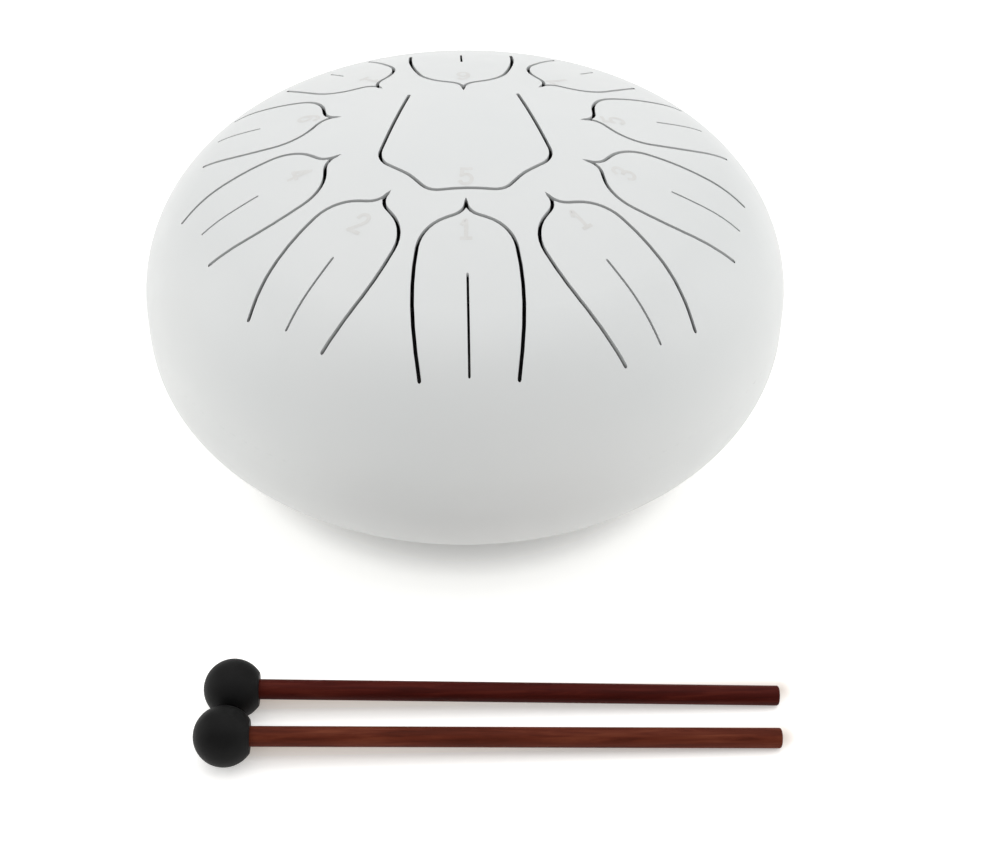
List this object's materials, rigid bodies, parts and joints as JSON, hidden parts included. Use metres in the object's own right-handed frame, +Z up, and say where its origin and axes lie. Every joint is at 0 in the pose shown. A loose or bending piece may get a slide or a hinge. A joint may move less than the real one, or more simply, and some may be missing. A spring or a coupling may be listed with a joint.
{
  "type": "steel tongue drum",
  "caption": "Domed steel drum with petal-shaped tongues cut in its top and a sound hole below, on rubber feet, with a pair of rubber-headed mallets.",
  "frame": {"origin": "centre of the footprint of the drum and its mallets, on the plane that they stand on", "axes": "+Z up, -Y towards the mallets and the player, +X to the right of a player who faces the drum"},
  "size_m": [0.254, 0.3224, 0.143],
  "materials": {
    "shell_paint": "satin white enamel",
    "foot_rubber": "matte",
    "fastener_steel": "zinc plated",
    "near_wood": "stained and oiled",
    "far_wood": "stained and oiled",
    "head_rubber": "matte"
  },
  "bodies": {
    "drum": {"upper_shell": "shell_paint", "lower_shell": "shell_paint", "seam_weld": "shell_paint", "foot_front_left": "foot_rubber", "foot_front_right": "foot_rubber", "foot_back_left": "foot_rubber", "foot_back_right": "foot_rubber", "foot_screws": "fastener_steel", "foot_washers": "fastener_steel", "shell_washers": "fastener_steel", "foot_nuts": "fastener_steel"},
    "mallet_near": {"mallet_near_stick": "near_wood", "mallet_near_head": "head_rubber"},
    "mallet_far": {"mallet_far_stick": "far_wood", "mallet_far_head": "head_rubber"}
  },
  "joints": [
    {"name": "mallet_near_lift", "type": "slide", "parent": "drum", "child": "mallet_near", "axis": [0, 0, 1], "range_m": [0, 0.2]},
    {"name": "mallet_far_lift", "type": "slide", "parent": "drum", "child": "mallet_far", "axis": [0, 0, 1], "range_m": [0, 0.2]}
  ]
}
